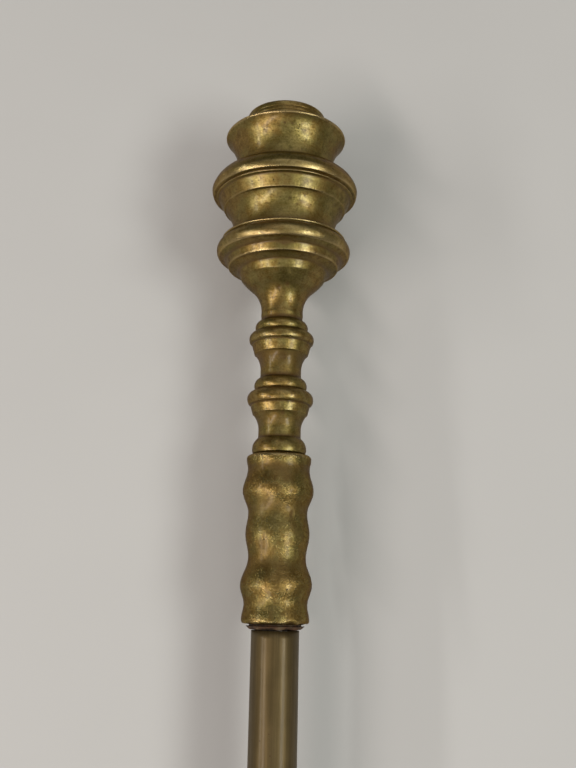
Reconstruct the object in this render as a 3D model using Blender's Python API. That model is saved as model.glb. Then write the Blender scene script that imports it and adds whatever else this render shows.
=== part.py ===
"""A one-handed boat hook with a turned brass handle, held together by a tie rod.

Everything is turned or bent about one axis, local +Y, which runs from the hook to the knob.
Local zero is the lower end of the grip. An empty carries the whole hook and lays it on the
surface z = 0, where it rests on the widest ring of the knob and on the two ball tips.
Lengths are in millimetres and become metres as each mesh is made.
"""

import math

import bmesh
import bpy
from mathutils import Matrix, Vector

MM = 0.001
GAP = 0.3          # clearance between neighbouring pieces
SIDES = 28         # facets round a turned piece, a multiple of four
ARC_STEPS = 3      # straight runs that an arc is divided into

# The shaft and what is inside the handle
SHAFT_RADIUS = 6.35
CASING_WALL = 1.0
SHAFT_LENGTH = 705.0
THREAD_RADIUS = 3.175
SPIGOT_RADIUS = 5.0
SPIGOT_LENGTH = 1.5
SLEEVE_RADIUS = 7.1
SLEEVE_DEPTH = 12.0
SLEEVE_SHOW = 1.5  # thickness of the sleeve's flange, below the grip
FLANGE_RADIUS = 8.1

# The handle, section by section from the shaft to the end
GRIP_LENGTH = 45.1
LOWER_LENGTH = 17.85
UPPER_LENGTH = 17.0
BOWL_LENGTH = 27.95
MIDDLE_LENGTH = 20.4
TOP_LENGTH = 14.5
CAP_LENGTH = 4.4
BOWL_RADIUS = 19.4
RING_RADIUS = 21.4
TOP_RADIUS = 17.85
CAP_RADIUS = 11.7
KNOB_MOUTH = 11.5   # the socket in the bowl for the middle ring
RING_MOUTH = 9.5    # the bore of the middle ring
NUT_POCKET = 8.0
NUT_FLOOR = 9.5     # height of the nut's seat above the lower face of the top ring

# The head
SOCKET_DEPTH = 50.0
SOCKET_RADIUS = 8.6
HEAD_LENGTH = 198.0
HEAD_BORE_DEPTH = 73.0
BALL_RADIUS = 9.0
HOOK_BEND = 27.0     # radius of the hook's bend
HOOK_CENTRE = 93.0   # distance of the bend's centre from the socket's mouth
HOOK_LEAN = 4.0      # how far the hook's end leans away from the shaft
HOOK_END = 23.0      # length of the straight end of the hook, up to its ball
ARM_RADIUS = 6.2     # of the hook's arm where it leaves the prong
PRONG_NECK = 4.4     # radius of the prong and of the arm where they meet their balls
RIVET_PLACES = (15.0, 35.0)
RIVET_RADIUS = 1.6
RIVET_HEAD = 3.0

BORE = THREAD_RADIUS + GAP
LOWER_START = GRIP_LENGTH
UPPER_START = LOWER_START + LOWER_LENGTH
BOWL_START = UPPER_START + UPPER_LENGTH
MIDDLE_START = BOWL_START + BOWL_LENGTH
TOP_START = MIDDLE_START + MIDDLE_LENGTH
CAP_START = TOP_START + TOP_LENGTH
CAP_END = CAP_START + CAP_LENGTH
ROD_TOP = CAP_START + 2.4
CASING_TOP = -SLEEVE_SHOW - GAP
SOCKET_MOUTH = -(SHAFT_LENGTH - SOCKET_DEPTH)
WIDEST_PLACE = MIDDLE_START + 15.3
TIP_CENTRE = SOCKET_MOUTH - HEAD_LENGTH + BALL_RADIUS
HOOK_BALL = Vector((2 * HOOK_BEND + HOOK_LEAN, SOCKET_MOUTH - HOOK_CENTRE + HOOK_END, 0))

BRASS = (0.42, 0.30, 0.11)
WORN_BRASS = (0.50, 0.36, 0.14)
BROWN_BRASS = (0.27, 0.20, 0.11)
STEEL = (0.35, 0.34, 0.32)
RUSTY_IRON = (0.10, 0.06, 0.04)


def clear_scene():
    for old in list(bpy.data.objects):
        bpy.data.objects.remove(old, do_unlink=True)


def metal(name, colour, roughness, metallic=1.0):
    material = bpy.data.materials.new(name)
    material.use_nodes = True
    shader = material.node_tree.nodes["Principled BSDF"]
    shader.inputs["Base Color"].default_value = (*colour, 1)
    shader.inputs["Roughness"].default_value = roughness
    shader.inputs["Metallic"].default_value = metallic
    return material


def outline(start, *stretches):
    """Points (place, radius) along an outline. A stretch is the (place, radius) where it ends,
    and its bulge: how far its arc stands outside the straight line, or inside if negative."""
    points = [Vector(start)]
    for place, radius, bulge in stretches:
        first, last = points[-1], Vector((place, radius))
        chord = last - first
        if bulge:
            outward = Vector((-chord.y, chord.x)).normalized() * math.copysign(1, chord.x)
            turn = 4 * math.atan(2 * abs(bulge) / chord.length)
            arc_radius = chord.length / (2 * math.sin(turn / 2))
            for step in range(1, ARC_STEPS):
                angle = turn * (step / ARC_STEPS - 0.5)
                rise = arc_radius * (math.cos(angle) - math.cos(turn / 2))
                along = 0.5 + arc_radius * math.sin(angle) / chord.length
                points.append(first + chord * along + outward * math.copysign(rise, bulge))
        points.append(last)
    return points


def swells(extremes):
    """Points that ease from each widest or narrowest place of a wavy outline to the next."""
    points = [Vector(extremes[0])]
    for (place, radius), (next_place, next_radius) in zip(extremes, extremes[1:]):
        for step in range(1, ARC_STEPS + 1):
            ease = (1 - math.cos(math.pi * step / ARC_STEPS)) / 2
            points.append(Vector((
                place + (next_place - place) * step / ARC_STEPS,
                radius + (next_radius - radius) * ease,
            )))
    return points


def finished(name, mesh_maker, material, parent, place=0.0):
    """The bmesh as an object that stands at a place along the hook's axis."""
    mesh = bpy.data.meshes.new(name)
    bmesh.ops.recalc_face_normals(mesh_maker, faces=mesh_maker.faces)
    mesh_maker.to_mesh(mesh)
    mesh_maker.free()
    mesh.materials.append(material)
    mesh.shade_smooth()
    mesh.set_sharp_from_angle(angle=math.radians(35))
    piece = bpy.data.objects.new(name, mesh)
    bpy.context.scene.collection.objects.link(piece)
    piece.parent = parent
    piece.location = (0, place * MM, 0)
    return piece


def turned(name, points, material, parent, place=0.0, closed=True, sides=SIDES):
    """A lathe piece. A closed outline goes once round the section of a bored piece; an open
    one starts and ends on the axis."""
    maker = bmesh.new()
    ring = [maker.verts.new((radius * MM, along * MM, 0)) for along, radius in points]
    edges = [maker.edges.new(pair) for pair in zip(ring, ring[1:])]
    if closed:
        edges.append(maker.edges.new((ring[-1], ring[0])))
    bmesh.ops.spin(
        maker, geom=ring + edges, cent=(0, 0, 0), axis=(0, 1, 0),
        angle=math.tau, steps=sides, use_merge=True,
    )
    bmesh.ops.remove_doubles(maker, verts=maker.verts, dist=1e-7)
    return finished(name, maker, material, parent, place)


def skinned(maker, rings):
    """Faces between each ring of corners and the next."""
    for ring, following in zip(rings, rings[1:]):
        for corner in range(len(ring)):
            after = (corner + 1) % len(ring)
            maker.faces.new((ring[corner], ring[after], following[after], following[corner]))


def drilled(piece, cutter):
    cutter.hide_render = True
    cutter.display_type = "WIRE"
    cut = piece.modifiers.new("drilled", "BOOLEAN")
    cut.operation = "DIFFERENCE"
    cut.object = cutter


def section(name, outer, inner, material, parent, place):
    """A section of the handle: its outer outline from below, then its bore from above."""
    return turned(name, [*outer, *map(Vector, inner)], material, parent, place)


def spigot(top_of_piece):
    """The bore of a section whose lower end is a spigot that enters the one below."""
    bottom = GAP / 2 - SPIGOT_LENGTH
    return [
        (top_of_piece, SPIGOT_RADIUS + GAP),
        (top_of_piece - SPIGOT_LENGTH - GAP, SPIGOT_RADIUS + GAP),
        (top_of_piece - SPIGOT_LENGTH - GAP, BORE),
        (bottom, BORE),
        (bottom, SPIGOT_RADIUS),
        (GAP / 2, SPIGOT_RADIUS),
    ]


def grip(brass, parent):
    top = GRIP_LENGTH - GAP / 2
    outer = [
        Vector((0, 8.5)),
        *swells([
            (0.4, 9.2), (5.0, 8.6), (10.0, 9.75), (17.0, 7.95), (23.5, 8.85),
            (29.0, 8.15), (35.0, 9.8), (40.8, 8.65), (43.6, 9.1),
        ]),
        *outline((43.6, 9.1), (top, 7.5, 0.4))[1:],
    ]
    sleeve_seat = SLEEVE_RADIUS + GAP
    inner = [
        (top, SPIGOT_RADIUS + GAP),
        (top - SPIGOT_LENGTH - GAP, SPIGOT_RADIUS + GAP),
        (top - SPIGOT_LENGTH - GAP, BORE),
        (SLEEVE_DEPTH + GAP, BORE),
        (SLEEVE_DEPTH + GAP, sleeve_seat),
        (0, sleeve_seat),
    ]
    return section("grip", outer, inner, brass, parent, 0)


def grip_sleeve(iron, parent):
    """An iron sleeve inside the grip, with a sloping flange between the grip and the shaft."""
    points = [
        (-SLEEVE_SHOW, BORE), (-SLEEVE_SHOW, SLEEVE_RADIUS), (-2 * GAP, FLANGE_RADIUS),
        (-GAP, FLANGE_RADIUS), (-GAP, SLEEVE_RADIUS), (SLEEVE_DEPTH, SLEEVE_RADIUS),
        (SLEEVE_DEPTH, BORE),
    ]
    return turned("grip_sleeve", points, iron, parent)


def lower_baluster(brass, parent):
    top = LOWER_LENGTH - GAP / 2
    outer = outline(
        (GAP / 2, 7.0), (4.2, 6.3, 0.75), (4.4, 6.05, 0), (6.4, 6.0, 0), (10.9, 7.5, -0.45),
        (11.1, 7.75, 0), (13.5, 8.3, 0), (13.8, 8.85, 0), (top, 7.6, 1.05),
    )
    return section("lower_baluster", outer, spigot(top), brass, parent, LOWER_START)


def upper_baluster(brass, parent):
    top = UPPER_LENGTH - GAP / 2
    outer = outline(
        (GAP / 2, 7.1), (3.5, 6.1, 0.8), (3.7, 5.85, 0), (5.4, 5.8, 0), (10.3, 7.25, -0.45),
        (10.5, 7.6, 0), (13.3, 8.35, 0), (13.7, 8.95, 0), (top, 7.6, 0.9),
    )
    return section("upper_baluster", outer, spigot(top), brass, parent, UPPER_START)


def knob_bowl(brass, parent):
    top = BOWL_LENGTH - GAP / 2
    outer = outline(
        (GAP / 2, 7.1), (3.2, 6.2, 0.85), (3.4, 5.95, 0), (5.0, 6.05, 0), (12.4, 8.6, -0.9),
        (15.7, 12.0, 0.1), (17.9, 12.9, 0), (19.1, 15.8, 0), (21.3, 16.6, 0), (22.3, 18.7, 0),
        (26.5, 18.3, BOWL_RADIUS - 18.5), (26.8, 17.6, 0), (27.1, 18.0, 0), (top, 18.0, 0),
    )
    inner = [
        (top, KNOB_MOUTH), (top - 6, KNOB_MOUTH), (top - 10, 8.5), (top - 13, BORE),
        (GAP / 2 - SPIGOT_LENGTH, BORE), (GAP / 2 - SPIGOT_LENGTH, SPIGOT_RADIUS),
        (GAP / 2, SPIGOT_RADIUS),
    ]
    return section("knob_bowl", outer, inner, brass, parent, BOWL_START)


def knob_middle_ring(brass, parent):
    top = MIDDLE_LENGTH - GAP / 2
    outer = outline(
        (GAP / 2, 15.2), (1.6, 14.9, 0), (8.9, 17.15, -0.75), (9.1, 17.7, 0), (12.4, 19.3, 0),
        (12.7, 20.0, 0), (12.9, 20.1, 0), (13.1, 19.8, 0), (13.4, 20.95, 0),
        (15.3, RING_RADIUS, 0.1), (top, 15.3, 1.15),
    )
    spigot_radius = KNOB_MOUTH - GAP
    inner = [
        (top, RING_MOUTH), (GAP / 2 - SPIGOT_LENGTH, RING_MOUTH),
        (GAP / 2 - SPIGOT_LENGTH, spigot_radius), (GAP / 2, spigot_radius),
    ]
    return section("knob_middle_ring", outer, inner, brass, parent, MIDDLE_START)


def knob_top_ring(brass, parent):
    top = TOP_LENGTH - GAP / 2
    outer = outline(
        (GAP / 2, 14.2), (1.6, 13.9, 0), (8.2, 15.5, -0.45), (11.2, 17.5, -0.2),
        (12.2, TOP_RADIUS, 0), (top, CAP_RADIUS - 0.5, 0.35),
    )
    spigot_radius = RING_MOUTH - GAP
    inner = [
        (top, NUT_POCKET), (NUT_FLOOR, NUT_POCKET), (NUT_FLOOR, BORE), (NUT_FLOOR - 2, BORE),
        (NUT_FLOOR - 4, 7.0), (GAP / 2 - SPIGOT_LENGTH, 7.0),
        (GAP / 2 - SPIGOT_LENGTH, spigot_radius), (GAP / 2, spigot_radius),
    ]
    return section("knob_top_ring", outer, inner, brass, parent, TOP_START)


def finial_cap(brass, parent):
    """The end cap, screwed on the tie rod over its nut. Its end is flat."""
    low = GAP / 2
    groove = 0.15
    points = [
        (low, BORE), (low, CAP_RADIUS - 0.5), (low + 0.4, CAP_RADIUS),
        (1.3, CAP_RADIUS), (1.5, CAP_RADIUS - groove), (1.7, CAP_RADIUS),
        (2.4, CAP_RADIUS), (2.6, CAP_RADIUS - groove), (2.8, CAP_RADIUS),
        (CAP_LENGTH - 0.4, CAP_RADIUS), (CAP_LENGTH, CAP_RADIUS - 0.5), (CAP_LENGTH, 0),
    ]
    bore_end = ROD_TOP - CAP_START + GAP
    return turned(
        "finial_cap", [(bore_end, 0), (bore_end, BORE), *points], brass, parent,
        CAP_START, closed=False,
    )


def nut_washer(steel, parent):
    low = NUT_FLOOR + GAP
    points = [(low, BORE), (low, 7.4), (low + 1.0, 7.4), (low + 1.0, BORE)]
    return turned("nut_washer", points, steel, parent, TOP_START, sides=24)


def clamp_nut(steel, parent):
    """A hexagon nut, 11 mm across its flats, with a round bore."""
    low = NUT_FLOOR + 1.0 + 2 * GAP
    high = TOP_LENGTH - GAP
    half_flats, corners = 5.5, 24

    def hexagon(angle):
        from_corner = (angle + math.pi / 6) % (math.pi / 3) - math.pi / 6
        return half_flats / math.cos(math.pi / 6 - abs(from_corner))

    maker = bmesh.new()
    rings = []
    for along, bored in ((low, False), (high, False), (high, True), (low, True)):
        ring = []
        for corner in range(corners):
            angle = math.tau * corner / corners
            radius = (BORE if bored else hexagon(angle)) * MM
            ring.append(maker.verts.new((
                radius * math.cos(angle), along * MM, radius * math.sin(angle),
            )))
        rings.append(ring)
    skinned(maker, [*rings, rings[0]])
    return finished("clamp_nut", maker, steel, parent, TOP_START)


def core_rod(steel, parent):
    """The tie rod: thick inside the casing, with a thinner threaded end in the handle and one
    in the head."""
    thick = SHAFT_RADIUS - CASING_WALL - GAP
    low = SOCKET_MOUTH - HEAD_BORE_DEPTH + GAP
    shoulder = -SHAFT_LENGTH + GAP
    points = [
        (low, 0), (low, THREAD_RADIUS), (shoulder, THREAD_RADIUS), (shoulder, thick),
        (CASING_TOP, thick), (CASING_TOP, THREAD_RADIUS), (ROD_TOP, THREAD_RADIUS), (ROD_TOP, 0),
    ]
    return turned("core_rod", points, steel, parent, closed=False, sides=24)


def shaft_casing(brass, parent):
    low = -SHAFT_LENGTH + GAP
    inner = SHAFT_RADIUS - CASING_WALL
    points = [
        (low, inner), (low, SHAFT_RADIUS), (CASING_TOP, SHAFT_RADIUS), (CASING_TOP, inner),
    ]
    return turned("shaft_casing", points, brass, parent)


def hook_arm(brass, parent):
    """The bent arm of the hook with its ball, tapering as it goes, as circles along its path."""
    centre = Vector((HOOK_BEND, -HOOK_CENTRE, 0))
    bend_start, bend_steps = math.radians(195), 14
    stations = []
    for step in range(bend_steps + 1):
        share = step / bend_steps
        angle = bend_start + (math.tau - bend_start) * share
        place = centre + HOOK_BEND * Vector((math.cos(angle), math.sin(angle), 0))
        heading = Vector((-math.sin(angle), math.cos(angle), 0))
        stations.append((place, heading, ARM_RADIUS + (PRONG_NECK - ARM_RADIUS) * share))
    start = stations[-1][0]
    ball = Vector((HOOK_BALL.x, HOOK_BALL.y - SOCKET_MOUTH, 0))
    heading = (ball - start).normalized()
    meeting = math.acos(PRONG_NECK / BALL_RADIUS)
    for step in range(7):
        angle = math.pi - meeting - (math.pi - meeting - 0.15) * step / 6
        stations.append((
            ball + heading * BALL_RADIUS * math.cos(angle), heading,
            BALL_RADIUS * math.sin(angle),
        ))
    maker = bmesh.new()
    rings = []
    count = 20
    for place, heading, radius in stations:
        side = Vector((heading.y, -heading.x, 0))
        up = Vector((0, 0, 1))
        rings.append([
            maker.verts.new(MM * (
                place + radius * math.cos(math.tau * corner / count) * side
                + radius * math.sin(math.tau * corner / count) * up
            ))
            for corner in range(count)
        ])
    skinned(maker, rings)
    maker.faces.new(rings[0])
    maker.faces.new(rings[-1])
    return finished("hook_arm", maker, brass, parent, SOCKET_MOUTH)


def hook_head(brass, parent):
    """The cast head in one piece: the socket, the straight prong with its ball, and the hook."""
    tip = -HEAD_LENGTH
    ball_centre = tip + BALL_RADIUS
    ball_start = math.asin(PRONG_NECK / BALL_RADIUS)
    meeting = ball_centre + BALL_RADIUS * math.cos(ball_start)
    outer = outline(
        (0, 7.4), (-1.0, 9.2, 0), (-4.0, 9.2, -0.4), (-5.0, SOCKET_RADIUS, 0),
        (-46.0, SOCKET_RADIUS, 0), (-47.0, 9.4, 0), (-52.0, 9.4, -0.4), (-53.0, 8.4, 0),
        (-95.0, 7.2, 0), (-120.0, 6.0, 0), (meeting, PRONG_NECK, 0),
    )
    ball_steps = 8
    for step in range(1, ball_steps + 1):
        angle = ball_start + (math.pi - ball_start) * step / ball_steps
        radius = max(0.0, BALL_RADIUS * math.sin(angle))
        outer.append(Vector((ball_centre + BALL_RADIUS * math.cos(angle), radius)))
    outer[-1].y = 0
    socket = SHAFT_RADIUS + GAP
    inner = [
        (-HEAD_BORE_DEPTH, 0), (-HEAD_BORE_DEPTH, BORE), (-SOCKET_DEPTH - GAP, BORE),
        (-SOCKET_DEPTH - GAP, socket), (0, socket),
    ]
    head = turned(
        "hook_head", [*map(Vector, inner), *outer], brass, parent, SOCKET_MOUTH,
        closed=False, sides=28,
    )
    arm = hook_arm(brass, parent)
    arm.hide_render = True
    arm.display_type = "WIRE"
    joined = head.modifiers.new("cast in one", "BOOLEAN")
    joined.operation = "UNION"
    joined.object = arm
    return head


def rivet(name, place, brass, parent):
    """A rivet through the socket and the shaft, across the plane of the hook, peened at both ends."""
    seat = SOCKET_RADIUS + GAP / 2
    dome = 1.0
    upper = outline((seat, RIVET_HEAD), (seat + dome, 0.0, 0.35))
    head = [(-along, radius) for along, radius in reversed(upper)]
    points = [*head, (-seat, RIVET_RADIUS), (seat, RIVET_RADIUS), *upper]
    piece = turned(name, points, brass, parent, place, closed=False, sides=16)
    piece.rotation_euler = (math.pi / 2, 0, 0)
    return piece


def rivet_drill(parent):
    """Both rivet holes as one cutter."""
    maker = bmesh.new()
    for place in RIVET_PLACES:
        bmesh.ops.create_cone(
            maker, cap_ends=True, segments=16, depth=30 * MM,
            radius1=(RIVET_RADIUS + GAP) * MM, radius2=(RIVET_RADIUS + GAP) * MM,
            matrix=Matrix.Translation((0, -place * MM, 0)),
        )
    return finished("rivet_drill", maker, bpy.data.materials[0], parent, SOCKET_MOUTH)


def laid_on_surface():
    """The empty that lays the hook down, with the origin below the middle of its box."""
    tilt = math.asin((RING_RADIUS - BALL_RADIUS) / (WIDEST_PLACE - TIP_CENTRE))
    hook_height = (HOOK_BALL.y - TIP_CENTRE) * math.sin(tilt)
    roll = math.asin(hook_height / (HOOK_BALL.x * math.cos(tilt)))
    right = HOOK_BALL.x * math.cos(roll) + BALL_RADIUS
    far = CAP_END * math.cos(tilt) + (CAP_RADIUS - 0.5) * math.sin(tilt)
    near = TIP_CENTRE * math.cos(tilt) - BALL_RADIUS
    place = Vector((
        (RING_RADIUS - right) / 2, -(far + near) / 2, BALL_RADIUS - TIP_CENTRE * math.sin(tilt),
    ))
    empty = bpy.data.objects.new("boat_hook", None)
    bpy.context.scene.collection.objects.link(empty)
    turn = Matrix.Rotation(tilt, 4, "X") @ Matrix.Rotation(roll, 4, "Y")
    empty.matrix_world = Matrix.Translation(place * MM) @ turn
    return empty


def main():
    clear_scene()
    brass = metal("aged_brass", BRASS, 0.35)
    worn_brass = metal("worn_brass", WORN_BRASS, 0.38)
    brown_brass = metal("brown_brass", BROWN_BRASS, 0.3)
    steel = metal("steel", STEEL, 0.45)
    iron = metal("rusty_iron", RUSTY_IRON, 0.8, 0.4)

    carrier = laid_on_surface()
    finial_cap(brass, carrier)
    clamp_nut(steel, carrier)
    nut_washer(steel, carrier)
    knob_top_ring(brass, carrier)
    knob_middle_ring(brass, carrier)
    knob_bowl(brass, carrier)
    upper_baluster(brass, carrier)
    lower_baluster(brass, carrier)
    grip(worn_brass, carrier)
    grip_sleeve(iron, carrier)
    rod = core_rod(steel, carrier)
    casing = shaft_casing(brown_brass, carrier)
    head = hook_head(brass, carrier)
    drill = rivet_drill(carrier)
    for piece in (rod, casing, head):
        drilled(piece, drill)
    for number, place in enumerate(RIVET_PLACES, 1):
        rivet(f"socket_rivet_{number}", SOCKET_MOUTH - place, brown_brass, carrier)


main()
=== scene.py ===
"""The looks of the boat hook: worn turned brass on a brown metal shaft, laid on a pale floor.

The hook's own frame has +Y along the shaft from the hook to the knob, with zero at the lower
end of the grip. Its lengths are in millimetres, and HOOK places that frame in the world.
"""

import math

import bmesh
import bpy
import numpy as np
from mathutils import Matrix, Vector, noise


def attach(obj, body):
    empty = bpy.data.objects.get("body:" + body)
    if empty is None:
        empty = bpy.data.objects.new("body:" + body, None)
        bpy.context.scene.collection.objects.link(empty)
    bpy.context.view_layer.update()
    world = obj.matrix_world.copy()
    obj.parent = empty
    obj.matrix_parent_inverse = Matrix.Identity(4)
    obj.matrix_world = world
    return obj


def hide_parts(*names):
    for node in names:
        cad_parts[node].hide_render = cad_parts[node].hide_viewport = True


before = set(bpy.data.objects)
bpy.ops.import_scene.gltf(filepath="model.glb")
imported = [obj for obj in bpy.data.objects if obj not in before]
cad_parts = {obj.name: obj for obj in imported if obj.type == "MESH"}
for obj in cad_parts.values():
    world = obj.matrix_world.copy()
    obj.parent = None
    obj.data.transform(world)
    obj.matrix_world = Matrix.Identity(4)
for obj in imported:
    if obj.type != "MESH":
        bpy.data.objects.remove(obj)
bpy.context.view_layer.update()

MM = 0.001
SIDES = 144             # facets round a turned piece
RUN = 0.16              # spacing of the points along an outline
ROUNDING = 0.07         # how far wear has rounded the turned edges
SMOOTH_REACH = 0.9      # reach of the smoothed outline that tells a groove from an edge
FULL_HOLLOW = 0.25      # how far below it a point lies where the hollow attribute is 1
MARK_HOLLOW = 6         # what the attribute gains for each millimetre of a pressed mark

SHAFT_RADIUS = 6.35
CASING_WALL = 1.0
SHAFT_LENGTH = 705.0
THREAD_RADIUS = 3.175
GAP = 0.3
SEAM = 0.02             # how far a section's skin stops short of its joint faces
BORE = THREAD_RADIUS + GAP
SPIGOT_RADIUS = 5.0
SPIGOT_LENGTH = 1.5
SPIGOT_END = GAP / 2 - SPIGOT_LENGTH
SLEEVE_RADIUS = 7.1
SLEEVE_DEPTH = 12.0
SLEEVE_SHOW = 1.5
FLANGE_RADIUS = 8.1

GRIP_LENGTH = 45.1
LOWER_LENGTH = 17.85
UPPER_LENGTH = 17.0
BOWL_LENGTH = 27.95
MIDDLE_LENGTH = 20.4
TOP_LENGTH = 14.5
CAP_LENGTH = 4.4
BOWL_RADIUS = 19.4
RING_RADIUS = 21.4
TOP_RADIUS = 17.85
CAP_RADIUS = 11.7
KNOB_MOUTH = 11.5
RING_MOUTH = 9.5
NUT_POCKET = 8.0
NUT_FLOOR = 9.5

SOCKET_DEPTH = 50.0
SOCKET_RADIUS = 8.6
HEAD_LENGTH = 198.0
HEAD_BORE_DEPTH = 73.0
BALL_RADIUS = 9.0
HOOK_BEND = 27.0
HOOK_CENTRE = 93.0
HOOK_LEAN = 4.0
HOOK_END = 23.0
BEND_START = 195.0
ARM_RADIUS = 6.2
PRONG_NECK = 4.4
BALL_STEPS = 24
POLE_GAP = 0.02         # radians short of its pole where a ball's rings end
RIVET_PLACES = (15.0, 35.0)
RIVET_RADIUS = 1.6
RIVET_HEAD = 3.0

LOWER_START = GRIP_LENGTH
UPPER_START = LOWER_START + LOWER_LENGTH
BOWL_START = UPPER_START + UPPER_LENGTH
MIDDLE_START = BOWL_START + BOWL_LENGTH
TOP_START = MIDDLE_START + MIDDLE_LENGTH
CAP_START = TOP_START + TOP_LENGTH
CAP_END = CAP_START + CAP_LENGTH
ROD_TOP = CAP_START + 2.4
CASING_TOP = -SLEEVE_SHOW - GAP
SOCKET_MOUTH = -(SHAFT_LENGTH - SOCKET_DEPTH)
WIDEST_PLACE = MIDDLE_START + 15.3
TIP_CENTRE = SOCKET_MOUTH - HEAD_LENGTH + BALL_RADIUS
HOOK_BALL = Vector((2 * HOOK_BEND + HOOK_LEAN, SOCKET_MOUTH - HOOK_CENTRE + HOOK_END, 0))


def resting_frame():
    """The frame of the hook as it lies, and the same frame before it rolls onto its hook ball."""
    tilt = math.asin((RING_RADIUS - BALL_RADIUS) / (WIDEST_PLACE - TIP_CENTRE))
    hook_height = (HOOK_BALL.y - TIP_CENTRE) * math.sin(tilt)
    roll = math.asin(hook_height / (HOOK_BALL.x * math.cos(tilt)))
    right = HOOK_BALL.x * math.cos(roll) + BALL_RADIUS
    far = CAP_END * math.cos(tilt) + (CAP_RADIUS - 0.5) * math.sin(tilt)
    near = TIP_CENTRE * math.cos(tilt) - BALL_RADIUS
    place = Vector((
        (RING_RADIUS - right) / 2, -(far + near) / 2, BALL_RADIUS - TIP_CENTRE * math.sin(tilt),
    ))
    unrolled = Matrix.Translation(place * MM) @ Matrix.Rotation(tilt, 4, "X")
    return unrolled @ Matrix.Rotation(roll, 4, "Y"), unrolled


HOOK, UNROLLED = resting_frame()


# Outlines

def outline(start, *stretches, steps=10):
    """Points (place, radius) along an outline. A stretch is the (place, radius) where it ends,
    and its bulge: how far its arc stands outside the straight line, or inside if negative."""
    points = [Vector(start)]
    for place, radius, bulge in stretches:
        first, last = points[-1], Vector((place, radius))
        chord = last - first
        if bulge:
            outward = Vector((-chord.y, chord.x)).normalized() * math.copysign(1, chord.x)
            turn = 4 * math.atan(2 * abs(bulge) / chord.length)
            arc_radius = chord.length / (2 * math.sin(turn / 2))
            for step in range(1, steps):
                angle = turn * (step / steps - 0.5)
                rise = arc_radius * (math.cos(angle) - math.cos(turn / 2))
                along = 0.5 + arc_radius * math.sin(angle) / chord.length
                points.append(first + chord * along + outward * math.copysign(rise, bulge))
        points.append(last)
    return points


def swells(extremes, steps=16):
    """Points that ease from each widest or narrowest place of a wavy outline to the next."""
    points = [Vector(extremes[0])]
    for (place, radius), (next_place, next_radius) in zip(extremes, extremes[1:]):
        for step in range(1, steps + 1):
            ease = (1 - math.cos(math.pi * step / steps)) / 2
            points.append(Vector((
                place + (next_place - place) * step / steps,
                radius + (next_radius - radius) * ease,
            )))
    return points


def evenly(points, spacing):
    """The same outline with its points an even distance apart, as an array."""
    line = np.array([tuple(point) for point in points])
    lengths = np.hypot(*np.diff(line, axis=0).T)
    travelled = np.concatenate([[0], np.cumsum(lengths)])
    wanted = np.linspace(0, travelled[-1], max(3, round(travelled[-1] / spacing) + 1))
    return np.stack([np.interp(wanted, travelled, line[:, axis]) for axis in (0, 1)], axis=1)


def softened(line, spacing, reach):
    """The outline with its corners rounded over about the given reach, its ends kept."""
    if reach <= 0:
        return line
    half = max(1, round(3 * reach / spacing))
    weights = np.exp(-0.5 * (np.arange(-half, half + 1) * spacing / reach) ** 2)
    weights /= weights.sum()
    before = 2 * line[0] - line[half:0:-1] if len(line) > half else np.repeat(line[:1], half, 0)
    after = 2 * line[-1] - line[-2:-half - 2:-1] if len(line) > half else np.repeat(line[-1:], half, 0)
    padded = np.concatenate([before, line, after])
    return np.stack([np.convolve(padded[:, axis], weights, "valid") for axis in (0, 1)], axis=1)


# Turned meshes

def uneven(points, seed, coarse, fine):
    """How far hand work and wear have moved each point (N, 3), in millimetres."""
    shift = Vector((seed * 17.3, seed * 5.1, seed * 9.7))
    moved = []
    for x, y, z in points:
        place = Vector((x, y, z))
        moved.append(
            coarse * noise.noise(place / 9.0 + shift) + fine * noise.noise(place / 2.2 - shift)
        )
    return np.array(moved)


def ring_faces(rings, sides):
    """Faces between rings of points, and from the last ring back to the first."""
    index = np.arange(rings * sides).reshape(rings, sides)
    faces = []
    for a, b in zip(index, np.roll(index, -1, axis=0)):
        faces += np.stack([a, b, np.roll(b, -1), np.roll(a, -1)], axis=1).tolist()
    return faces


def merged_on_axis(mesh):
    """The mesh with the points of each ring that has shrunk onto the axis made one."""
    maker = bmesh.new()
    maker.from_mesh(mesh)
    bmesh.ops.remove_doubles(maker, verts=maker.verts, dist=1e-7)
    bmesh.ops.recalc_face_normals(maker, faces=maker.faces)
    maker.to_mesh(mesh)
    maker.free()
    return mesh


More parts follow.
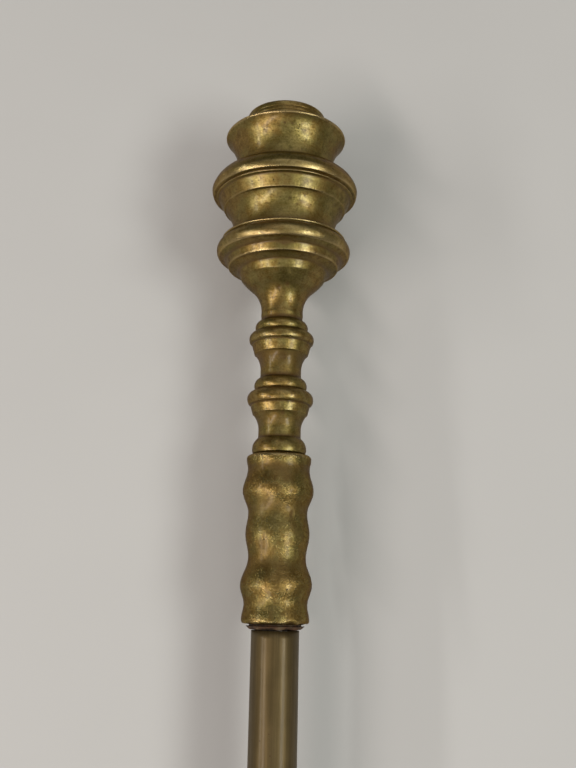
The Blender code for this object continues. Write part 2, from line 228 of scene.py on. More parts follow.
def lathe_mesh(
    name, outer, inner, sides=SIDES, run=RUN, rounding=ROUNDING,
    coarse=0.05, fine=0.012, seed=1, marks=(), grime_and_shade=(),
):
    """A mesh of the turned section: a worn outer skin, closed by its plain bore. Either outline
    may end on the axis. The hollow attribute is above zero in grooves and below it on edges, and
    each listed ring (place, reach, amount) raises it, which paints shade, with some soil, there."""
    line = softened(evenly(outer, run), run, rounding)
    wide = softened(line, run, SMOOTH_REACH)
    slope = np.gradient(line, axis=0)
    normal = np.stack([-slope[:, 1], slope[:, 0]], axis=1)
    normal /= np.maximum(np.linalg.norm(normal, axis=1, keepdims=True), 1e-9)
    normal *= np.sign(line[-1, 0] - line[0, 0]) or 1
    hollow = ((wide - line) * normal).sum(axis=1) / FULL_HOLLOW
    # Each ring darkens the skin round its place: painted shade, with some soil.
    for place, reach, amount in grime_and_shade:
        hollow += amount * np.exp(-((line[:, 0] - place) / reach) ** 2)

    angles = np.linspace(0, math.tau, sides, endpoint=False)
    round_x, round_z = np.cos(angles), np.sin(angles)
    rows = len(line)
    skin = np.empty((rows, sides, 3))
    skin[:, :, 0] = line[:, 1:] * round_x
    skin[:, :, 1] = line[:, :1]
    skin[:, :, 2] = line[:, 1:] * round_z
    outward = np.empty_like(skin)
    outward[:, :, 0] = normal[:, 1:] * round_x
    outward[:, :, 1] = normal[:, :1]
    outward[:, :, 2] = normal[:, 1:] * round_z
    worn = uneven(skin.reshape(-1, 3), seed, coarse, fine).reshape(rows, sides)
    pressed = np.zeros((rows, sides))
    for mark in marks:
        pressed += mark(line[:, :1], np.broadcast_to(angles, (rows, sides)), line[:, 1:])
    smoother_near_axis = np.minimum(1, line[:, 1:] / 3)
    skin += outward * ((worn - coarse - fine + pressed) * smoother_near_axis)[:, :, None]

    inner_line = np.array([tuple(point) for point in inner]).reshape(-1, 2)
    bore = np.empty((len(inner_line), sides, 3))
    bore[:, :, 0] = inner_line[:, 1:] * round_x
    bore[:, :, 1] = inner_line[:, :1]
    bore[:, :, 2] = inner_line[:, 1:] * round_z
    grid = np.concatenate([skin, bore])
    depth = np.concatenate([
        np.repeat(hollow[:, None], sides, 1) - MARK_HOLLOW * np.minimum(pressed, 0),
        np.zeros((len(inner_line), sides)),
    ])
    mesh = bpy.data.meshes.new(name)
    mesh.from_pydata((grid.reshape(-1, 3) * MM).tolist(), [], ring_faces(len(grid), sides))
    attribute = mesh.attributes.new("hollow", "FLOAT", "POINT")
    attribute.data.foreach_set("value", depth.reshape(-1).astype(np.float32))
    return merged_on_axis(mesh)


def piece_of(name, mesh, node, material, start=0.0, turn=None):
    """The finished piece: it stands for a CAD node, rides on the hook and has its finish."""
    mesh.transform(HOOK @ Matrix.Translation((0, start * MM, 0)) @ (turn or Matrix()))
    mesh.materials.append(material)
    mesh.shade_smooth()
    piece = bpy.data.objects.new(name, mesh)
    bpy.context.scene.collection.objects.link(piece)
    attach(piece, "root")
    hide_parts(node)
    return piece


# Wear marks, each a function of (place, angle, radius) that gives how far the skin is pressed in

def facing(right_of_top):
    """The angle round the axis of a place so many degrees to the right of the top."""
    return math.radians(90 - right_of_top)


def round_about(angle, centre, radius):
    """Distance along the skin between two angles."""
    return ((angle - centre + math.pi) % math.tau - math.pi) * radius


def dent(place, right_of_top, size, depth):
    """A round hollow."""
    centre = facing(right_of_top)

    def mark(along, angle, radius):
        far = (along - place) ** 2 + round_about(angle, centre, radius) ** 2
        return -depth * np.exp(-far / (2 * size ** 2))
    return mark


def score(start, end, width, depth):
    """A scratch from one (place, degrees right of the top) to another."""
    first, last = facing(start[1]), facing(end[1])

    def mark(along, angle, radius):
        x = round_about(angle, first, radius)
        y = along - start[0]
        to_x = round_about(last, first, radius)
        to_y = end[0] - start[0]
        share = np.clip((x * to_x + y * to_y) / (to_x ** 2 + to_y ** 2), 0, 1)
        far = (x - share * to_x) ** 2 + (y - share * to_y) ** 2
        return -depth * np.exp(-far / (2 * width ** 2))
    return mark


def chipped_rim(place, reach, depth, seed):
    """An end rim worn and chipped unevenly."""
    def mark(along, angle, radius):
        waves = np.vectorize(lambda t: noise.noise(Vector((3 * math.cos(t), 3 * math.sin(t), seed))))
        rough = np.clip(waves(angle[0]) + 0.15, 0, None)
        return -depth * rough * np.exp(-((along - place) / reach) ** 2)
    return mark


# Materials

# A dark brown for soil in the grooves and for painted shade.
GRIME_AND_SHADE = (0.070, 0.034, 0.010, 1)
PIT_BLACK = (0.02, 0.012, 0.006, 1)
RUST_SPECK = (0.07, 0.03, 0.012, 1)
RUST_DARK = (0.025, 0.016, 0.010, 1)
RUST_BROWN = (0.12, 0.055, 0.022, 1)
RUST_PALE = (0.16, 0.11, 0.06, 1)


def put(tree, kind, inputs=None, **settings):
    """A new node, with its settings, and its inputs joined to sockets or given values."""
    made = tree.nodes.new(kind)
    for key, value in settings.items():
        setattr(made, key, value)
    for key, value in (inputs or {}).items():
        if isinstance(value, bpy.types.NodeSocket):
            tree.links.new(value, made.inputs[key])
        else:
            made.inputs[key].default_value = value
    return made


def maths(tree, operation, first, second=0.0, third=0.0, clamp=False):
    made = put(tree, "ShaderNodeMath", {0: first, 1: second, 2: third}, operation=operation)
    made.use_clamp = clamp
    return made.outputs[0]


def between(tree, value, low, high, out_low=0.0, out_high=1.0):
    """The value's smooth rise from out_low to out_high as it goes from low to high."""
    made = put(tree, "ShaderNodeMapRange", {
        "Value": value, "From Min": low, "From Max": high, "To Min": out_low, "To Max": out_high,
    }, interpolation_type="SMOOTHSTEP")
    return made.outputs[0]


def mixed(tree, share, first, second, blend="MIX"):
    made = put(tree, "ShaderNodeMix", {0: share, 6: first, 7: second}, data_type="RGBA")
    made.blend_type = blend
    return made.outputs[2]


def noisy(tree, where, scale, detail=4.0, roughness=0.6, stretch=None, distortion=0.0):
    if stretch:
        where = put(tree, "ShaderNodeMapping", {"Vector": where, "Scale": stretch}).outputs[0]
    return put(tree, "ShaderNodeTexNoise", {
        "Vector": where, "Scale": scale, "Detail": detail, "Roughness": roughness,
        "Distortion": distortion,
    }).outputs["Fac"]


def in_millimetres(tree):
    """The place in the hook's own directions, in millimetres."""
    place = put(tree, "ShaderNodeTexCoord").outputs["Object"]
    return put(tree, "ShaderNodeMapping", {
        "Vector": place, "Rotation": HOOK.inverted().to_euler(), "Scale": (1 / MM, 1 / MM, 1 / MM),
    }).outputs[0]


def new_material(name):
    material = bpy.data.materials.new(name)
    material.use_nodes = True
    return material, material.node_tree, material.node_tree.nodes["Principled BSDF"]


def specks(tree, where, scale, size, share):
    """Small round pits, in some of the cells of a grid of that scale."""
    cells = put(tree, "ShaderNodeTexVoronoi", {"Vector": where, "Scale": scale, "Randomness": 1.0})
    red = put(tree, "ShaderNodeSeparateColor", {"Color": cells.outputs["Color"]}).outputs[0]
    chosen = maths(tree, "LESS_THAN", red, share)
    near = between(tree, cells.outputs["Distance"], size, size * 0.35)
    return maths(tree, "MULTIPLY", chosen, near)


def scratches(tree, where, turn, scale, width):
    """Thin straight scratches that run the same way."""
    along = put(tree, "ShaderNodeMapping", {
        "Vector": where, "Rotation": turn, "Scale": (1.0, 0.06, 1.0),
    }).outputs[0]
    waves = noisy(tree, along, scale, detail=2.0, roughness=0.5)
    line = maths(tree, "ABSOLUTE", maths(tree, "SUBTRACT", waves, 0.5))
    where_scratched = between(tree, noisy(tree, where, 0.12, detail=2.0), 0.52, 0.66)
    return maths(tree, "MULTIPLY", between(tree, line, width, 0.0), where_scratched)


def brass(name, ochre, olive, worn, roughness, pitting, varnish):
    """Cast and turned brass under a brown and olive tarnish, with soil in its grooves, painted shade
    and soil on the rings that raise the hollow attribute, bright worn edges, fine pits and the marks
    of turning, all under some old varnish."""
    material, tree, shader = new_material(name)
    where = in_millimetres(tree)
    hollow = put(tree, "ShaderNodeAttribute", attribute_name="hollow").outputs["Fac"]
    broad = noisy(tree, where, 0.11, detail=4.0, roughness=0.6)
    mottle = noisy(tree, where, 0.6, detail=6.0, roughness=0.72)
    grain = noisy(tree, where, 2.0, detail=4.0, roughness=0.8)
    turning = noisy(tree, where, 1.0, detail=4.0, roughness=0.75, stretch=(0.05, 3.0, 0.05))

    tone = maths(tree, "MULTIPLY_ADD", broad, 0.6, maths(tree, "MULTIPLY", mottle, 0.4))
    colour = mixed(tree, between(tree, tone, 0.42, 0.58), ochre, olive)
    shade = maths(tree, "MULTIPLY_ADD", grain, 0.9, maths(tree, "MULTIPLY", mottle, 1.1))
    shade = maths(tree, "MULTIPLY_ADD", turning, 0.35, shade)
    polish = between(tree, shade, 0.85, 1.5)
    shade = maths(tree, "MULTIPLY_ADD", polish, 0.70, 0.53)
    grey = put(tree, "ShaderNodeCombineColor", {0: shade, 1: shade, 2: shade}).outputs[0]
    colour = mixed(tree, 1.0, colour, grey, "MULTIPLY")
    colour = mixed(tree, maths(tree, "MULTIPLY", polish, 0.3), colour, worn)
    rubbed = maths(tree, "MULTIPLY_ADD", maths(tree, "SUBTRACT", mottle, 0.5), -0.9, hollow)
    edge = between(tree, rubbed, -0.25, -1.0)
    colour = mixed(tree, maths(tree, "MULTIPLY", edge, 0.75), colour, worn)
    # Soil in the grooves, stains and the painted shade of the rings all turn the colour dark brown.
    soiled_and_shaded = maths(tree, "MULTIPLY_ADD", maths(tree, "SUBTRACT", mottle, 0.5), 1.2, hollow)
    dirt_and_shade = between(tree, soiled_and_shaded, 0.15, 0.9)
    stain = between(tree, noisy(tree, where, 0.2, detail=6.0, roughness=0.65), 0.55, 0.72, 0.0, 0.55)
    dirt_and_shade = maths(tree, "MAXIMUM", dirt_and_shade, stain, clamp=True)
    colour = mixed(tree, maths(tree, "MULTIPLY", dirt_and_shade, 0.75), colour, GRIME_AND_SHADE)
    large_pits = specks(tree, where, 0.33, 0.10, 0.30)
    small_pits = specks(tree, where, 1.1, 0.20, 0.40)
    pits = maths(tree, "MAXIMUM", large_pits, maths(tree, "MULTIPLY", small_pits, 0.7))
    colour = mixed(tree, maths(tree, "MULTIPLY", pits, 0.8), colour, PIT_BLACK)
    tree.links.new(colour, shader.inputs["Base Color"])

    scored = maths(
        tree, "MAXIMUM",
        scratches(tree, where, (0.3, 0.2, 0.5), 1.6, 0.012),
        scratches(tree, where, (0.1, 0.9, -0.9), 1.3, 0.010),
    )
    rough = maths(tree, "MULTIPLY_ADD", polish, -0.18, roughness + 0.10)
    rough = maths(tree, "MULTIPLY_ADD", dirt_and_shade, 0.20, rough)
    rough = maths(tree, "MULTIPLY_ADD", edge, -0.06, rough)
    tree.links.new(rough, shader.inputs["Roughness"])
    metallic = between(tree, dirt_and_shade, 0.1, 0.9, 0.92, 0.65)
    metallic = maths(tree, "MULTIPLY_ADD", edge, 0.1, metallic, clamp=True)
    tree.links.new(metallic, shader.inputs["Metallic"])
    shader.inputs["Specular Tint"].default_value = (0.40, 0.30, 0.18, 1)
    shader.inputs["Coat Weight"].default_value = varnish
    shader.inputs["Coat Roughness"].default_value = 0.2

    height = maths(tree, "MULTIPLY", turning, 0.012)
    height = maths(tree, "MULTIPLY_ADD", mottle, 0.05 * pitting, height)
    height = maths(tree, "MULTIPLY_ADD", grain, 0.055 * pitting, height)
    height = maths(tree, "MULTIPLY_ADD", pits, -0.12, height)
    height = maths(tree, "MULTIPLY_ADD", scored, -0.02, height)
    bump = put(tree, "ShaderNodeBump", {"Height": height, "Distance": MM, "Strength": 1.0})
    tree.links.new(bump.outputs[0], shader.inputs["Normal"])
    return material


def brown_tube(name, bright, dark, roughness):
    """Smooth drawn tube gone brown, with rubbing along it and a few rust specks."""
    material, tree, shader = new_material(name)
    where = in_millimetres(tree)
    streak = noisy(tree, where, 1.0, detail=4.0, roughness=0.65, stretch=(1.1, 0.035, 1.1))
    cloud = noisy(tree, where, 0.09, detail=5.0)
    grain = noisy(tree, where, 3.0, detail=3.0, roughness=0.7)
    tone = maths(tree, "MULTIPLY_ADD", streak, 0.55, maths(tree, "MULTIPLY", cloud, 0.45))
    colour = mixed(tree, between(tree, tone, 0.36, 0.62), bright, dark)
    rust = maths(tree, "MULTIPLY", specks(tree, where, 0.45, 0.10, 0.25), 0.8)
    colour = mixed(tree, rust, colour, RUST_SPECK)
    tree.links.new(colour, shader.inputs["Base Color"])
    shader.inputs["Metallic"].default_value = 0.85
    shader.inputs["Coat Weight"].default_value = 0.15
    shader.inputs["Coat Roughness"].default_value = 0.2
    rough = maths(tree, "MULTIPLY_ADD", streak, 0.16, roughness - 0.08)
    tree.links.new(maths(tree, "MULTIPLY_ADD", rust, 0.3, rough), shader.inputs["Roughness"])
    height = maths(tree, "MULTIPLY_ADD", grain, 0.006, maths(tree, "MULTIPLY", streak, 0.018))
    height = maths(tree, "MULTIPLY_ADD", rust, 0.03, height)
    bump = put(tree, "ShaderNodeBump", {"Height": height, "Distance": MM, "Strength": 1.0})
    tree.links.new(bump.outputs[0], shader.inputs["Normal"])
    return material


def rusty_iron(name):
    """Rough iron under dark rust."""
    material, tree, shader = new_material(name)
    where = in_millimetres(tree)
    scale = noisy(tree, where, 0.9, detail=7.0, roughness=0.75)
    tone = noisy(tree, where, 0.35, detail=4.0)
    colour = mixed(tree, between(tree, scale, 0.38, 0.62), RUST_DARK, RUST_BROWN)
    colour = mixed(tree, between(tree, tone, 0.5, 0.7), colour, RUST_PALE)
    tree.links.new(colour, shader.inputs["Base Color"])
    shader.inputs["Metallic"].default_value = 0.35
    tree.links.new(between(tree, scale, 0.3, 0.7, 0.55, 0.9), shader.inputs["Roughness"])
    bump = put(tree, "ShaderNodeBump", {
        "Height": maths(tree, "MULTIPLY", scale, 0.35), "Distance": MM, "Strength": 1.0,
    })
    tree.links.new(bump.outputs[0], shader.inputs["Normal"])
    return material


def plain_steel(name):
    """Drawn steel with a fine grain along the shaft."""
    material, tree, shader = new_material(name)
    where = in_millimetres(tree)
    grain = noisy(tree, where, 1.2, detail=4.0, stretch=(1.0, 0.1, 1.0))
    colour = mixed(tree, grain, (0.30, 0.29, 0.27, 1), (0.42, 0.41, 0.39, 1))
    tree.links.new(colour, shader.inputs["Base Color"])
    shader.inputs["Metallic"].default_value = 1.0
    tree.links.new(between(tree, grain, 0.3, 0.7, 0.35, 0.55), shader.inputs["Roughness"])
    return material


AGED_BRASS = brass(
    "aged_brass_look", ochre=(0.200, 0.121, 0.022, 1), olive=(0.155, 0.123, 0.025, 1),
    worn=(0.42, 0.31, 0.14, 1), roughness=0.355, pitting=0.75, varnish=0.28,
)
WORN_BRASS = brass(
    "worn_brass_look", ochre=(0.190, 0.116, 0.024, 1), olive=(0.149, 0.118, 0.027, 1),
    worn=(0.40, 0.30, 0.14, 1), roughness=0.28, pitting=1.7, varnish=0.15,
)
BROWN_BRASS = brown_tube(
    "brown_brass_look", bright=(0.121, 0.084, 0.034, 1), dark=(0.084, 0.058, 0.022, 1), roughness=0.54,
)
RUSTY_IRON = rusty_iron("rusty_iron_look")
STEEL = plain_steel("steel_look")


# The pieces

def spigot_bore(top):
    """The bore of a section whose lower end is a spigot, from its top down."""
    return [
        (top, SPIGOT_RADIUS + GAP), (top - SPIGOT_LENGTH - GAP, SPIGOT_RADIUS + GAP),
        (top - SPIGOT_LENGTH - GAP, BORE), (SPIGOT_END, BORE), (SPIGOT_END, SPIGOT_RADIUS),
        (SEAM, SPIGOT_RADIUS),
    ]


def make_grip():
    top = GRIP_LENGTH - SEAM
    outer = [
        Vector((-0.05, 7.6)),
        *outline((-0.05, 8.5), (0.5, 9.15, 0.1)),
        *swells([
            (0.9, 9.2), (5.0, 8.6), (10.0, 9.75), (17.0, 7.95), (23.5, 8.85),
            (29.0, 8.15), (35.0, 9.8), (40.8, 8.65), (43.7, 9.1),
        ]),
        *outline((43.7, 9.1), (top - 0.2, 7.9, 0.35), (top, 7.35, 0))[1:],
    ]
    sleeve_seat = SLEEVE_RADIUS + GAP
    inner = [
        (top, SPIGOT_RADIUS + GAP), (top - SPIGOT_LENGTH - GAP, SPIGOT_RADIUS + GAP),
        (top - SPIGOT_LENGTH - GAP, BORE), (SLEEVE_DEPTH + GAP, BORE),
        (SLEEVE_DEPTH + GAP, sleeve_seat), (0, sleeve_seat),
    ]
    marks = [
        score((29.0, 27), (22.0, 15), 0.25, 0.06), dent(28.0, 25, 0.5, 0.05),
        dent(24.5, 20, 0.35, 0.05), dent(22.8, 23, 0.3, 0.05),
        score((10.3, -28), (9.6, -10), 0.2, 0.03), dent(9.3, -16, 0.5, 0.03),
        dent(20.5, -30, 2.2, 0.10), dent(37.0, 12, 1.6, 0.08), dent(33.0, -22, 1.8, 0.08),
        dent(3.5, -20, 0.5, 0.06), chipped_rim(0.1, 0.7, 0.5, 3.0),
    ]
    mesh = lathe_mesh(
        "grip_skin", outer, inner, coarse=0.16, fine=0.03, seed=2, marks=marks,
        # Rings of painted shade and soil: at the lower rim, by the top joint and at two places between
        # the lobes.
        grime_and_shade=[(0.2, 0.8, 0.5), (41.0, 2.5, 0.35), (30.0, 2.5, 0.2), (14.0, 2.0, 0.2)],
    )
    return piece_of("turned_grip", mesh, "grip", WORN_BRASS)


def make_sleeve():
    low = -SLEEVE_SHOW
    outer = outline(
        (low, 6.8), (low + 0.2, SLEEVE_RADIUS + 0.1, 0), (-0.5, FLANGE_RADIUS - 0.1, 0),
        (-GAP, FLANGE_RADIUS - 0.4, 0), (-GAP, SLEEVE_RADIUS, 0), (SLEEVE_DEPTH, SLEEVE_RADIUS, 0),
    )
    inner = [(SLEEVE_DEPTH, BORE), (low, BORE)]
    mesh = lathe_mesh(
        "sleeve_skin", outer, inner, coarse=0.1, fine=0.08, seed=3, rounding=0.08,
        marks=[chipped_rim(low, 0.5, 0.4, 7.0)],
    )
    return piece_of("iron_sleeve", mesh, "grip_sleeve", RUSTY_IRON)


def make_lower_baluster():
    top = LOWER_LENGTH - SEAM
    outer = outline(
        (SEAM, 7.35), (4.2, 6.3, 0.65), (4.4, 6.05, 0), (6.4, 6.0, -0.03), (10.9, 7.5, -0.45),
        (11.05, 7.75, 0), (13.4, 8.35, 0), (13.55, 8.2, 0), (13.85, 8.85, 0),
        (top, 7.4, 1.1),
    )
    marks = [
        score((16.6, 50), (14.2, 58), 0.16, 0.2), score((17.0, 42), (14.4, 52), 0.14, 0.16),
        dent(15.6, -14, 0.5, 0.12), dent(10.5, 5, 0.35, 0.15),
    ]
    mesh = lathe_mesh(
        "lower_skin", outer, spigot_bore(top), seed=4, coarse=0.09, marks=marks,
        # Rings of painted shade and soil: by the lower joint, along the flare and on the top bead.
        grime_and_shade=[(0.5, 1.5, 0.3), (8.5, 2.5, 0.3), (15.0, 1.5, 0.25)],
    )
    return piece_of(
        "turned_lower_baluster", mesh, "lower_baluster", AGED_BRASS, LOWER_START,
    )


def make_upper_baluster():
    top = UPPER_LENGTH - SEAM
    outer = outline(
        (SEAM, 7.1), (3.5, 6.1, 0.8), (3.65, 5.85, 0), (5.4, 5.8, -0.03), (10.3, 7.25, -0.45),
        (10.45, 7.6, 0), (13.2, 8.4, 0), (13.35, 8.3, 0), (13.75, 8.95, 0), (top, 7.4, 0.95),
    )
    marks = [dent(14.6, -6, 0.4, 0.1), dent(15.2, 3, 0.35, 0.12), dent(8.5, 4, 0.5, 0.1)]
    mesh = lathe_mesh(
        "upper_skin", outer, spigot_bore(top), seed=5, coarse=0.08, marks=marks,
        # Rings of painted shade and soil: by the lower joint, along the flare and on the top bead.
        grime_and_shade=[(1.5, 2.2, 0.45), (8.5, 3.0, 0.45), (15.0, 1.5, 0.3)],
    )
    return piece_of(
        "turned_upper_baluster", mesh, "upper_baluster", AGED_BRASS, UPPER_START,
    )


def make_bowl():
    top = BOWL_LENGTH - SEAM
    outer = outline(
        (SEAM, 7.1), (3.2, 6.2, 0.85), (3.4, 5.95, 0), (5.0, 6.05, -0.03),
        (12.4, 8.6, -0.9), (15.7, 12.0, 0.12), (17.9, 12.9, 0), (19.1, 15.8, -0.25),
        (21.3, 16.6, 0), (22.3, 18.7, -0.15), (26.5, 18.3, BOWL_RADIUS - 18.5),
        (26.75, 17.5, 0), (27.1, 17.95, 0), (27.5, 18.05, 0.03), (top, 17.6, 0.05),
    )
    inner = [
        (top, KNOB_MOUTH), (top - 6, KNOB_MOUTH), (top - 10, 8.5), (top - 13, BORE),
        (SPIGOT_END, BORE), (SPIGOT_END, SPIGOT_RADIUS), (SEAM, SPIGOT_RADIUS),
    ]
    marks = [
        score((14.6, 14), (14.3, 30), 0.10, 0.07), dent(23.6, 24, 0.25, 0.12),
        dent(12.0, 8, 0.4, 0.12), dent(11.2, -10, 0.4, 0.1), dent(21.0, 0, 1.2, 0.1),
    ]
    mesh = lathe_mesh(
        "bowl_skin", outer, inner, seed=6, coarse=0.07, marks=marks,
        # Rings of painted shade and soil: by the lower joint and on the lower cove.
        grime_and_shade=[(1.5, 2.0, 0.75), (12.0, 3.0, 0.2)],
    )
    return piece_of("turned_bowl", mesh, "knob_bowl", AGED_BRASS, BOWL_START)


def make_middle_ring():
    top = MIDDLE_LENGTH - SEAM
    outer = outline(
        (SEAM, 15.0), (1.6, 14.9, 0), (8.9, 17.15, -0.75), (9.1, 17.7, 0), (12.45, 19.3, 0),
        (12.65, 20.0, 0), (12.95, 20.15, 0), (13.15, 19.8, 0), (13.4, 20.95, 0),
        (15.3, RING_RADIUS, 0.12), (top, 15.3, 1.25),
    )
    spigot_radius = KNOB_MOUTH - GAP
    inner = [
        (top, RING_MOUTH), (SPIGOT_END, RING_MOUTH),
        (SPIGOT_END, spigot_radius), (SEAM, spigot_radius),
    ]
    marks = [dent(5.6, -19, 0.25, 0.10), dent(5.2, 12, 0.28, 0.12), dent(18.5, 6, 0.6, 0.10)]
    mesh = lathe_mesh(
        "middle_skin", outer, inner, seed=7, coarse=0.06, marks=marks,
        # A ring of painted shade, with some soil, by the lower joint.
        grime_and_shade=[(0.5, 1.8, 0.7)],
    )
    return piece_of(
        "turned_middle_ring", mesh, "knob_middle_ring", AGED_BRASS, MIDDLE_START,
    )


def make_top_ring():
    top = TOP_LENGTH - SEAM
    outer = outline(
        (SEAM, 14.1), (1.6, 13.9, 0), (8.2, 15.5, -0.45), (11.2, 17.5, -0.2),
        (11.7, TOP_RADIUS, 0.05), (12.3, 17.3, 0.06), (top, CAP_RADIUS - 0.5, 0.25),
    )
    spigot_radius = RING_MOUTH - GAP
    inner = [
        (top, NUT_POCKET), (NUT_FLOOR, NUT_POCKET), (NUT_FLOOR, BORE), (NUT_FLOOR - 2, BORE),
        (NUT_FLOOR - 4, 7.0), (SPIGOT_END, 7.0),
        (SPIGOT_END, spigot_radius), (SEAM, spigot_radius),
    ]
    marks = [
        dent(9.1, -3, 0.2, 0.16), dent(9.0, 6, 0.22, 0.18), score((8.4, 9), (7.9, 28), 0.12, 0.06),
        score((9.3, 2), (8.2, 12), 0.1, 0.05), score((8.9, -4), (7.8, 5), 0.1, 0.04),
    ]
    mesh = lathe_mesh(
        # A ring of painted shade, with some soil, by the lower joint.
        "top_skin", outer, inner, seed=8, coarse=0.06, marks=marks, grime_and_shade=[(0.5, 1.5, 0.5)],
    )
    return piece_of("turned_top_ring", mesh, "knob_top_ring", AGED_BRASS, TOP_START)


def make_cap():
    groove = CAP_RADIUS - 0.12
    outer = outline(
        (0.0, CAP_RADIUS - 0.4), (0.4, CAP_RADIUS, 0.1), (1.35, CAP_RADIUS, 0),
        (1.55, groove, 0), (1.75, CAP_RADIUS, 0), (2.45, CAP_RADIUS, 0),
        (2.65, groove, 0), (2.85, CAP_RADIUS, 0), (CAP_LENGTH - 0.5, CAP_RADIUS, 0),
        (CAP_LENGTH, CAP_RADIUS - 0.5, 0.12), (CAP_LENGTH, 0, 0),
    )
    bore_end = ROD_TOP - CAP_START + GAP
    inner = [(bore_end, 0), (bore_end, BORE), (0.0, BORE)]
    # The ring over the whole cap paints shade on it, with some soil.
    mesh = lathe_mesh("cap_skin", outer, inner, seed=9, coarse=0.05, grime_and_shade=[(2.0, 3.0, 0.4)])
    return piece_of("turned_cap", mesh, "finial_cap", AGED_BRASS, CAP_START)


def make_casing():
    low = -SHAFT_LENGTH + GAP
    bore = SHAFT_RADIUS - CASING_WALL
    high = CASING_TOP + 0.25
    mesh = lathe_mesh(
        "casing_skin", [(low, SHAFT_RADIUS), (high, SHAFT_RADIUS)], [(high, bore), (low, bore)],
        sides=96, run=2.0, rounding=0, coarse=0.02, fine=0.0, seed=10,
    )
    return piece_of("drawn_casing", mesh, "shaft_casing", BROWN_BRASS)


def swept_rings(stations, count):
    """Rings of points round each station (place, heading, radius), as an array."""
    rings = []
    for place, heading, radius in stations:
        side = Vector((heading.y, -heading.x, 0))
        rings.append([
            tuple(place + radius * (math.cos(t) * side + math.sin(t) * Vector((0, 0, 1))))
            for t in np.linspace(0, math.tau, count, endpoint=False)
        ])
    return np.array(rings)


def arm_rings(count):
    """The bent arm of the hook with its ball, tapering as it goes."""
    centre = Vector((HOOK_BEND, -HOOK_CENTRE, 0))
    bend_start, bend_steps = math.radians(BEND_START), 60
    stations = []
    for step in range(bend_steps + 1):
        share = step / bend_steps
        angle = bend_start + (math.tau - bend_start) * share
        place = centre + HOOK_BEND * Vector((math.cos(angle), math.sin(angle), 0))
        heading = Vector((-math.sin(angle), math.cos(angle), 0))
        stations.append((place, heading, ARM_RADIUS + (PRONG_NECK - ARM_RADIUS) * share))
    ball = Vector((HOOK_BALL.x, HOOK_BALL.y - SOCKET_MOUTH, 0))
    heading = (ball - stations[-1][0]).normalized()
    neck = math.pi - math.asin(PRONG_NECK / BALL_RADIUS)
    for step in range(BALL_STEPS + 1):
        angle = neck + (POLE_GAP - neck) * step / BALL_STEPS
        stations.append((
            ball + heading * BALL_RADIUS * math.cos(angle), heading, BALL_RADIUS * math.sin(angle),
        ))
    return swept_rings(stations, count)


def prong_rings(count):
    """The socket, the body and the straight prong with its ball, and the bore of the socket."""
    ball_centre = BALL_RADIUS - HEAD_LENGTH
    neck_angle = math.asin(PRONG_NECK / BALL_RADIUS)
    outer = outline(
        (0, 7.4), (-1.0, 9.2, 0), (-4.0, 9.2, -0.4), (-5.0, SOCKET_RADIUS, 0),
        (-46.0, SOCKET_RADIUS, 0), (-47.0, 9.4, 0), (-52.0, 9.4, -0.4), (-53.0, 8.4, 0),
        (-95.0, 7.2, 0), (-120.0, 6.0, 0),
        (ball_centre + BALL_RADIUS * math.cos(neck_angle), PRONG_NECK, 0),
    )
    for step in range(1, BALL_STEPS + 1):
        angle = neck_angle + (math.pi - POLE_GAP - neck_angle) * step / BALL_STEPS
        outer.append(Vector((
            ball_centre + BALL_RADIUS * math.cos(angle), BALL_RADIUS * math.sin(angle),
        )))
    socket = SHAFT_RADIUS + GAP
    bore = [
        (0, socket), (-SOCKET_DEPTH - GAP, socket), (-SOCKET_DEPTH - GAP, BORE),
        (-HEAD_BORE_DEPTH, BORE), (-HEAD_BORE_DEPTH, 0.02),
    ]
    along_y = [(Vector((0, place, 0)), Vector((0, 1, 0)), radius) for place, radius in [
        *reversed(bore), *outer,
    ]]
    return swept_rings(along_y, count)


def capped(rings):
    """Points and faces of a tube of rings with both ends closed."""
    count = rings.shape[1]
    index = np.arange(len(rings) * count).reshape(len(rings), count)
    faces = [index[0].tolist(), index[-1, ::-1].tolist()]
    for a, b in zip(index, index[1:]):
        faces += np.stack([a, b, np.roll(b, -1), np.roll(a, -1)], axis=1).tolist()
    return rings.reshape(-1, 3), faces


def cast_in_one(name, tubes, voxel, smoothing):
    """The tubes made one skin, with a rounded fillet where they meet, in millimetres."""
    points, faces = [], []
    for rings in tubes:
        more_points, more_faces = capped(rings)
        faces += [[corner + len(points) for corner in face] for face in more_faces]
        points += more_points.tolist()
    raw = bpy.data.meshes.new(name + "_raw")
    raw.from_pydata(points, [], faces)
    maker = bmesh.new()
    maker.from_mesh(raw)
    bmesh.ops.recalc_face_normals(maker, faces=maker.faces)
    maker.to_mesh(raw)
    maker.free()
    shaped = bpy.data.objects.new(name + "_raw", raw)
    bpy.context.scene.collection.objects.link(shaped)
    cast = shaped.modifiers.new("cast", "REMESH")
    cast.mode = "VOXEL"
    cast.voxel_size = voxel
    fillet = shaped.modifiers.new("fillet", "SMOOTH")
    fillet.factor = 0.5
    fillet.iterations = smoothing
    graph = bpy.context.evaluated_depsgraph_get()
    mesh = bpy.data.meshes.new_from_object(shaped.evaluated_get(graph))
    mesh.name = name
    bpy.data.objects.remove(shaped)
    bpy.data.meshes.remove(raw)
    return mesh


def make_head():
    mesh = cast_in_one("head_skin", [prong_rings(96), arm_rings(64)], voxel=0.5, smoothing=10)
    count = len(mesh.vertices)
    points = np.empty(count * 3)
    normals = np.empty(count * 3, np.float32)
    mesh.vertices.foreach_get("co", points)
    mesh.vertex_normals.foreach_get("vector", normals)
    points = points.reshape(-1, 3)
    coarse, fine = 0.10, 0.03
    worn = uneven(points, 12, coarse, fine) - (coarse + fine)
    points += normals.reshape(-1, 3) * worn[:, None]
    mesh.vertices.foreach_set("co", (points * MM).reshape(-1))
    attribute = mesh.attributes.new("hollow", "FLOAT", "POINT")
    slightly_rubbed = np.full(count, -0.1, np.float32)
    attribute.data.foreach_set("value", slightly_rubbed)
    return piece_of("cast_head", mesh, "hook_head", AGED_BRASS, SOCKET_MOUTH)


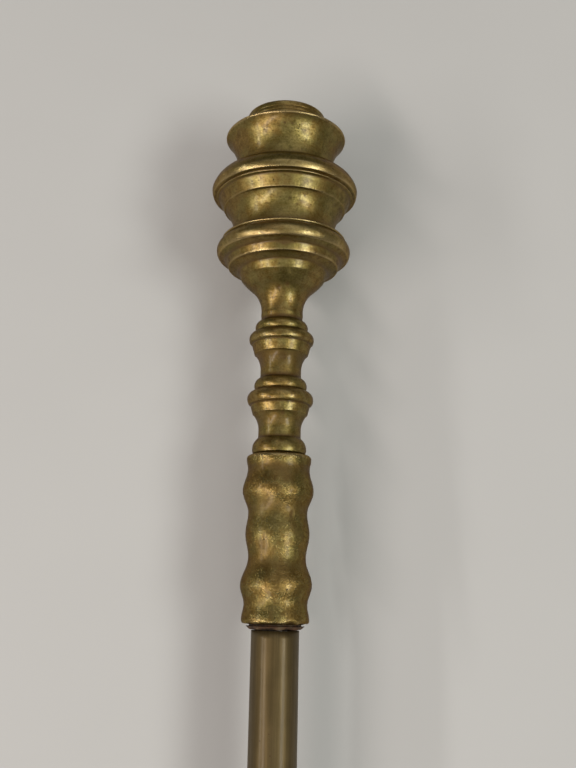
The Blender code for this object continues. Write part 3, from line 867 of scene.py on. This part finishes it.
def make_rivet(number, place):
    """A rivet across the plane of the hook, peened down onto the socket at both ends."""
    dome_foot = SOCKET_RADIUS - 0.6
    dome_top = SOCKET_RADIUS + GAP / 2 + 1.0
    head = outline(
        (dome_foot, RIVET_HEAD), (SOCKET_RADIUS - 0.1, RIVET_HEAD, 0), (dome_top, 0.0, 0.45),
    )
    lower = [Vector((-point.x, point.y)) for point in reversed(head)]
    outer = [*lower, Vector((-dome_foot, RIVET_RADIUS)), Vector((dome_foot, RIVET_RADIUS)), *head]
    mesh = lathe_mesh(
        f"rivet_skin_{number}", outer, [], sides=48, run=0.12, rounding=0.08,
        coarse=0.08, fine=0.04, seed=20 + number,
    )
    return piece_of(
        f"peened_rivet_{number}", mesh, f"socket_rivet_{number}", BROWN_BRASS,
        SOCKET_MOUTH - place, Matrix.Rotation(math.pi / 2, 4, "X"),
    )


def finish_hidden_steel():
    """The steel pieces inside keep their CAD shape."""
    for node in ("core_rod", "clamp_nut", "nut_washer"):
        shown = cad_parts[node]
        shown.data.materials.clear()
        shown.data.materials.append(STEEL)


# The floor, the light and the camera

FLOOR_HALF = 4.0        # metres
LIT_PLACE = 75.0        # how far along the handle the lights aim
CAMERA_PLACE = Vector((2.09, 5.39, 245.36))     # millimetres in the hook's frame before its roll
CAMERA_TURN = (14.432, -0.287, 1.114)           # degrees in the world


def lay_floor():
    """A plain pale floor under the whole object."""
    material, tree, shader = new_material("pale_floor")
    where = in_millimetres(tree)
    tone = noisy(tree, where, 0.01, detail=3.0)
    colour = mixed(tree, tone, (0.520, 0.513, 0.504, 1), (0.554, 0.547, 0.538, 1))
    tree.links.new(colour, shader.inputs["Base Color"])
    shader.inputs["Roughness"].default_value = 0.95
    shader.inputs["Specular IOR Level"].default_value = 0.1
    corners = [(FLOOR_HALF * x, FLOOR_HALF * y, 0) for x, y in ((-1, -1), (1, -1), (1, 1), (-1, 1))]
    mesh = bpy.data.meshes.new("floor")
    mesh.from_pydata(corners, [], [(0, 1, 2, 3)])
    mesh.materials.append(material)
    floor = bpy.data.objects.new("floor", mesh)
    bpy.context.scene.collection.objects.link(floor)


def soft_light(name, azimuth, elevation, distance, size, power, colour):
    """A rectangular light that faces the handle, from an azimuth that is 0 beyond the knob's end
    and 90 to its right."""
    data = bpy.data.lights.new(name, "AREA")
    data.shape = "RECTANGLE"
    data.size, data.size_y = size
    data.energy = power
    data.color = colour
    turn, rise = math.radians(azimuth), math.radians(elevation)
    target = UNROLLED @ Vector((0, LIT_PLACE * MM, 0))
    away = Vector((
        math.sin(turn) * math.cos(rise), math.cos(turn) * math.cos(rise), math.sin(rise),
    ))
    light = bpy.data.objects.new(name, data)
    light.location = target + away * distance
    light.rotation_euler = away.to_track_quat("Z", "Y").to_euler()
    bpy.context.scene.collection.objects.link(light)


def light_studio():
    soft_light("left_box", -128, 45, 1.0, (0.85, 0.11), 4.7, (1.0, 0.91, 0.86))
    soft_light("right_box", 110, 46, 1.2, (0.66, 0.30), 6.5, (0.98, 1.0, 0.95))
    soft_light("left_strip", -97, 29, 1.2, (0.9, 0.024), 3.5, (1.0, 0.97, 0.93))
    soft_light("ceiling", 28, 62, 1.3, (1.6, 1.2), 4.2, (1.0, 0.97, 0.91))
    soft_light("front", 178, 66, 1.2, (0.65, 0.55), 0.8, (0.95, 1.0, 0.90))
    world = bpy.data.worlds.new("studio")
    world.use_nodes = True
    sky = world.node_tree.nodes["Background"]
    sky.inputs["Color"].default_value = (1.0, 0.97, 0.93, 1)
    sky.inputs["Strength"].default_value = 0.08
    bpy.context.scene.world = world


def place_camera():
    data = bpy.data.cameras.new("camera")
    data.lens = 42.19
    data.sensor_width = 36.0
    data.clip_start = 0.01
    camera = bpy.data.objects.new("camera", data)
    bpy.context.scene.collection.objects.link(camera)
    camera.location = UNROLLED @ (CAMERA_PLACE * MM)
    camera.rotation_euler = [math.radians(turn) for turn in CAMERA_TURN]
    bpy.context.scene.camera = camera


make_cap()
make_top_ring()
make_middle_ring()
make_bowl()
make_upper_baluster()
make_lower_baluster()
make_grip()
make_sleeve()
make_casing()
make_head()
for number, place in enumerate(RIVET_PLACES, 1):
    make_rivet(number, place)
finish_hidden_steel()
lay_floor()
light_studio()
place_camera()
bpy.context.scene.view_settings.view_transform = "Standard"
